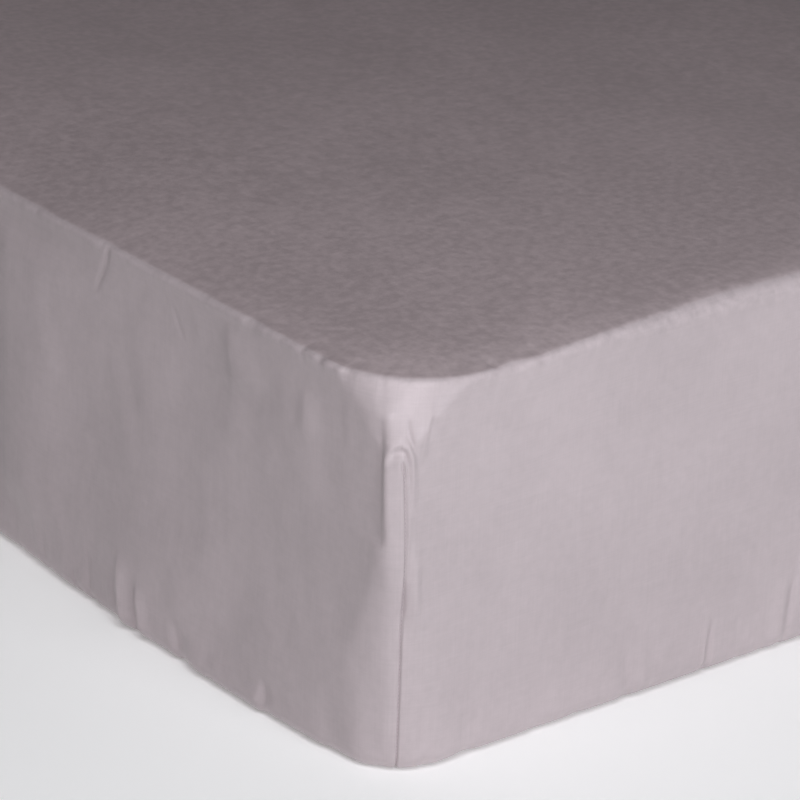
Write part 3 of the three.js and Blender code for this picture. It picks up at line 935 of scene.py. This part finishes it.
edge_inset = MATTRESS_EDGE * (1 - math.sin(math.pi / 4))
lower_tape = tape_points(edge_inset, mattress_low.z + edge_inset)
upper_tape = tape_points(edge_inset, mattress_edge_top - edge_inset)
tape_faces = joined_rings(lower_tape, width, closed=True)
tape_count = width * TAPE_SIDES
tape_faces += [tuple(point + tape_count for point in face) for face in tape_faces]
tape = new_piece("mattress_tape", list(np.concatenate(lower_tape + upper_tape)), tape_faces)
print(f"tapes {2 * TAPE_RADIUS / MM:.1f} mm wide round both edges")

# %% [markdown]
# ## Light, camera and floor
#
# The camera looks down on the front left corner from a little above. The key light is large and soft. It
# stands high on the left, opposite the corner, so that the rounded cloth over the dart is the brightest
# place of all. A second soft light stands low in front of the foot end and makes that side brighter than
# the long side. A strip behind, lower than the mattress is deep, lights the far sides. The top, which no
# light faces, is the darkest. A pale floor fills the shadows from below. The sky is pale only along the
# horizon, where it takes over from the floor, and dim above.

# %% Camera
CAMERA_FROM_CORNER = Vector((-1.4147, -1.7522, 1.2489))
CAMERA_HEADING = math.radians(38.995)  # clockwise from +Y
CAMERA_DIP = math.radians(22.804)
CAMERA_ROLL = math.radians(2.201)
camera_data = bpy.data.cameras.new("camera")
camera_data.lens = 162
camera_data.clip_end = 400
camera = bpy.data.objects.new("camera", camera_data)
bpy.context.scene.collection.objects.link(camera)
heading = Matrix.Rotation(-CAMERA_HEADING, 4, "Z")
dip = Matrix.Rotation(math.pi / 2 - CAMERA_DIP, 4, "X")
roll = Matrix.Rotation(CAMERA_ROLL, 4, "Z")
near_corner = Vector((-half_width, -half_length, 0))
camera.matrix_world = Matrix.Translation(near_corner + CAMERA_FROM_CORNER) @ heading @ dip @ roll
bpy.context.scene.camera = camera
print(f"the camera is {CAMERA_FROM_CORNER.length:.2f} m from the corner")

# %% Lights
def area_light(name, azimuth, elevation, distance, size, power, colour):
    """A soft light aimed at the near corner's top, seen from there at that azimuth and elevation."""
    data = bpy.data.lights.new(name, "AREA")
    data.shape = "RECTANGLE"
    data.size, data.size_y = size
    data.energy = power
    data.color = colour
    light = bpy.data.objects.new(name, data)
    bpy.context.scene.collection.objects.link(light)
    azimuth, elevation = math.radians(azimuth), math.radians(elevation)
    away = Vector((
        math.sin(azimuth) * math.cos(elevation),
        -math.cos(azimuth) * math.cos(elevation),
        math.sin(elevation),
    ))
    light.location = near_corner + Vector((0, 0, top_edge)) + away * distance
    light.rotation_euler = away.to_track_quat("Z", "Y").to_euler()
    light.visible_camera = False


LIGHT_COLOUR = (0.96, 0.967, 0.99)
area_light("key", -38, 50, 2.6, (1.3, 1.3), 46.5, LIGHT_COLOUR)
area_light("low front", 0, 12, 2.6, (1.3, 1.3), 28.5, (0.925, 0.967, 0.995))
area_light("strip behind", 141, -1.6, 5.4, (2.2, 0.24), 60, LIGHT_COLOUR)
print([light.name for light in bpy.data.lights], "light the sheet")

# %% Helpers for finishes and nodes
def finish(name, colour, roughness):
    """A new material, its node tree and its shader."""
    material = bpy.data.materials.new(name)
    material.use_nodes = True
    shader = material.node_tree.nodes["Principled BSDF"]
    shader.inputs["Base Color"].default_value = (*colour, 1)
    shader.inputs["Roughness"].default_value = roughness
    return material, material.node_tree, shader


def add_node(tree, kind, settings=None, **values):
    """A node with its settings and the values of its inputs, whose names have _ for each space."""
    node = tree.nodes.new(kind)
    for name, value in (settings or {}).items():
        setattr(node, name, value)
    for name, value in values.items():
        node.inputs[name.replace("_", " ")].default_value = value
    return node


# %% Sky
sky = bpy.data.worlds.new("sky")
bpy.context.scene.world = sky
sky.use_nodes = True
tree = sky.node_tree
background = tree.nodes["Background"]
background.inputs["Color"].default_value = (1.02, 0.955, 0.975, 1)
direction = add_node(tree, "ShaderNodeTexCoord")
upwards = add_node(tree, "ShaderNodeSeparateXYZ")
brightness = add_node(  # pale along the horizon and dim higher up
    tree, "ShaderNodeMapRange", {"interpolation_type": "SMOOTHSTEP"},
    From_Min=0.08, From_Max=0.16, To_Min=0.6, To_Max=0.02,
)
tree.links.new(direction.outputs["Generated"], upwards.inputs["Vector"])
tree.links.new(upwards.outputs["Z"], brightness.inputs["Value"])
tree.links.new(brightness.outputs["Result"], background.inputs["Strength"])
bpy.context.scene.view_settings.view_transform = "Standard"
print("the sky is", brightness.inputs["To Min"].default_value, "bright along the horizon")

# %% Floor
REACH = 60
floor_corners = [(-REACH, -REACH, 0), (REACH, -REACH, 0), (REACH, REACH, 0), (-REACH, REACH, 0)]
floor = new_piece("floor", floor_corners, [(0, 1, 2, 3)])
pale, tree, shader = finish("pale floor", (0.9, 0.9, 0.9), 0.9)
shader.inputs["Emission Color"].default_value = (1, 1, 1, 1)
shader.inputs["Emission Strength"].default_value = 0.2
floor.data.materials.append(pale)
print("floor", 2 * REACH, "m wide")

# %% [markdown]
# ## The cotton
#
# Percale is a plain weave of fine combed threads: matt up close, with a faint soft gloss where it is
# stretched. Three things show on the real cloth. The weave itself is a checker of tiny crowns, well under
# a millimetre across. Some threads are a little thicker than the rest, which draws short, fine streaks
# along and across. And the dye takes unevenly, in broad clouds. The raised ends of its fibres, the nap,
# show as a fine mottle on the flat top. Two marks are painted light: a warmer tint where the cloth faces
# up, and a paler painted highlight where its surface tilts over an edge and on the rounded corners. The
# texture coordinates made above are in metres along the threads, so each pattern below can be given its
# real size.

# %% Helpers for the patterns of the cloth
def stretched(tree, source, scale):
    """The same coordinates, with each direction multiplied by its own scale."""
    mapping = add_node(tree, "ShaderNodeMapping", Scale=scale)
    tree.links.new(source, mapping.inputs["Vector"])
    return mapping.outputs["Vector"]


def cloud(tree, vector, scale, detail):
    """Noise from nought to one at a scale in clouds to the metre."""
    noise = add_node(tree, "ShaderNodeTexNoise", Scale=scale, Detail=detail, Roughness=0.55)
    tree.links.new(vector, noise.inputs["Vector"])
    return noise.outputs["Fac"]


def threads(tree, vector, pitch, direction):
    """Ridges at a pitch in metres, running across that direction."""
    wave = add_node(tree, "ShaderNodeTexWave", {"bands_direction": direction}, Scale=math.pi / 10 / pitch)
    tree.links.new(vector, wave.inputs["Vector"])
    return wave.outputs["Fac"]


def sums(tree, *terms, offset=0.0):
    """The sum of an offset and several values, each given with the factor that it counts with."""
    total = None
    for value, factor in terms:
        node = add_node(tree, "ShaderNodeMath", {"operation": "MULTIPLY_ADD"})
        tree.links.new(value, node.inputs[0])
        node.inputs[1].default_value = factor
        node.inputs[2].default_value = offset
        if total is not None:
            tree.links.new(total, node.inputs[2])
        total = node.outputs[0]
    return total


def ramp(tree, value, *stops):
    """A colour for each value between nought and one."""
    node = tree.nodes.new("ShaderNodeValToRGB")
    while len(node.color_ramp.elements) < len(stops):
        node.color_ramp.elements.new(0.5)
    for element, (place, colour) in zip(node.color_ramp.elements, stops):
        element.position = place
        element.color = (*colour, 1)
    tree.links.new(value, node.inputs["Fac"])
    return node.outputs["Color"]


def add_bump(tree, shader, height, distance, strength):
    """Raises the shader's surface by a pattern of heights."""
    bump = add_node(tree, "ShaderNodeBump", Strength=strength, Distance=distance)
    tree.links.new(height, bump.inputs["Height"])
    tree.links.new(bump.outputs["Normal"], shader.inputs["Normal"])


# %% Cotton
THREAD_PITCH = 0.36 * MM
COTTON_COLOUR = (0.468, 0.404, 0.42)
cotton, tree, shader = finish("mauve grey cotton", COTTON_COLOUR, 0.45)
grain_place = add_node(tree, "ShaderNodeUVMap", {"uv_map": "grain"}).outputs["UV"]
place = tree.nodes.new("ShaderNodeTexCoord").outputs["Object"]
weave = add_node(tree, "ShaderNodeMath", {"operation": "MULTIPLY"})
tree.links.new(threads(tree, grain_place, 2 * THREAD_PITCH, "X"), weave.inputs[0])
tree.links.new(threads(tree, grain_place, 2 * THREAD_PITCH, "Y"), weave.inputs[1])
thick_across = cloud(tree, stretched(tree, grain_place, (14, 900, 1)), 1.0, 2)
thick_along = cloud(tree, stretched(tree, grain_place, (900, 14, 1)), 1.0, 2)
dye_clouds = cloud(tree, place, 7, 3)
crumples = cloud(tree, stretched(tree, place, (70, 70, 42)), 1.0, 3)
nap = cloud(tree, place, 130, 3)
apart = add_node(tree, "ShaderNodeSeparateXYZ")
tree.links.new(place, apart.inputs["Vector"])
laid_flat = add_node(tree, "ShaderNodeMapRange", From_Min=0.296, From_Max=0.306, To_Min=0.3, To_Max=1.15)
tree.links.new(apart.outputs["Z"], laid_flat.inputs["Value"])
nap_shown = add_node(tree, "ShaderNodeMath", {"operation": "MULTIPLY"})  # the nap shows most on the flat top
tree.links.new(sums(tree, (nap, 1.0), offset=-0.5), nap_shown.inputs[0])
tree.links.new(laid_flat.outputs["Result"], nap_shown.inputs[1])
facing = tree.nodes.new("ShaderNodeSeparateXYZ")
tree.links.new(tree.nodes.new("ShaderNodeNewGeometry").outputs["Normal"], facing.inputs["Vector"])
none, full = (0, 0, 0), (1, 1, 1)  # painted highlight: the cloth is made paler where its surface tilts over an edge or a rounded corner
painted_edge_highlight = ramp(tree, facing.outputs["Z"], (0.15, none), (0.65, full), (0.93, full), (1, none))
# the tone mixes the dye clouds, streaks, crumples and nap with the painted edge highlight
cloth_tone_and_painted_highlight = sums(
    tree, (dye_clouds, 0.5), (thick_across, 0.2), (thick_along, 0.2), (crumples, 0.1), (painted_edge_highlight, 0.32),
    (nap_shown.outputs[0], 1.0)
)
dark, light = ([part * factor for part in COTTON_COLOUR] for factor in (0.9, 1.2))
# painted light: a warmer, slightly lighter tint where the cloth faces up stands in for how the light falls
# on the top
painted_top_tint = ramp(tree, facing.outputs["Z"], (0.9, full), (1, (1.035, 0.99, 0.985)))
colour_with_painted_light = add_node(tree, "ShaderNodeVectorMath", {"operation": "MULTIPLY"})
tree.links.new(ramp(tree, cloth_tone_and_painted_highlight, (0.3, dark), (0.9, light)), colour_with_painted_light.inputs[0])
tree.links.new(painted_top_tint, colour_with_painted_light.inputs[1])
tree.links.new(colour_with_painted_light.outputs["Vector"], shader.inputs["Base Color"])
gloss = ramp(tree, cloth_tone_and_painted_highlight, (0.3, (0.38,) * 3), (0.7, (0.44,) * 3))
tree.links.new(gloss, shader.inputs["Roughness"])
height = sums(tree, (weave.outputs[0], 0.06), (thick_across, 0.05), (thick_along, 0.05), (crumples, 0.8))
add_bump(tree, shader, height, 0.6 * MM, 0.6)
shader.inputs["Specular IOR Level"].default_value = 0.55
shader.inputs["Specular Tint"].default_value = (1, 0.9, 0.94, 1)
shader.inputs["Sheen Weight"].default_value = 0.04
shader.inputs["Sheen Roughness"].default_value = 0.4
sheet.data.materials.append(cotton)
print("cotton threads", THREAD_PITCH / MM, "mm apart")

# %% [markdown]
# ## The thread and the ticking
#
# The seams are sewn with polyester thread in the cotton's colour, a touch darker, whose plies make a fine
# slanting ripple. The mattress is covered in cream ticking, a dense twill: its weave shows as fine slanting
# ribs, and the unbleached yarn has darker flecks.

# %% Thread
THREAD_COLOUR = (0.34, 0.29, 0.30)
thread, tree, shader = finish("mauve grey thread", THREAD_COLOUR, 0.5)
place = tree.nodes.new("ShaderNodeTexCoord").outputs["Object"]
plies = threads(tree, place, 0.35 * MM, "DIAGONAL")
darker, lighter = ([part * factor for part in THREAD_COLOUR] for factor in (0.85, 1.1))
tree.links.new(ramp(tree, plies, (0.2, darker), (0.8, lighter)), shader.inputs["Base Color"])
add_bump(tree, shader, plies, 0.05 * MM, 0.5)
for piece in (seam_stitches, hem_stitches):
    piece.data.materials.append(thread)
print("thread", THREAD_COLOUR)

# %% Ticking
TICKING_COLOUR = (0.74, 0.70, 0.61)
ticking, tree, shader = finish("cream ticking", TICKING_COLOUR, 0.8)
place = tree.nodes.new("ShaderNodeTexCoord").outputs["Object"]
ribs = threads(tree, place, 1.1 * MM, "DIAGONAL")
flecks = cloud(tree, stretched(tree, place, (900, 160, 500)), 1.0, 2)
yarn_clouds = cloud(tree, place, 9, 3)
tone = sums(tree, (ribs, 0.2), (flecks, 0.45), (yarn_clouds, 0.35))
darker, lighter = ([part * factor for part in TICKING_COLOUR] for factor in (0.82, 1.08))
tree.links.new(ramp(tree, tone, (0.3, darker), (0.65, lighter)), shader.inputs["Base Color"])
add_bump(tree, shader, sums(tree, (ribs, 0.5), (flecks, 0.5)), 0.3 * MM, 0.6)
mattress.data.materials.append(ticking)
tape.data.materials.append(ticking)
print("ticking", TICKING_COLOUR)

# %% Put everything in the frame
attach(sheet, "root")
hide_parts("fitted_sheet")
for piece in (seam_stitches, hem_stitches):
    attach(piece, "root")
    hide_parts("fitted_sheet")
for piece in (mattress, tape):
    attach(piece, "root")
    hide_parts("mattress")
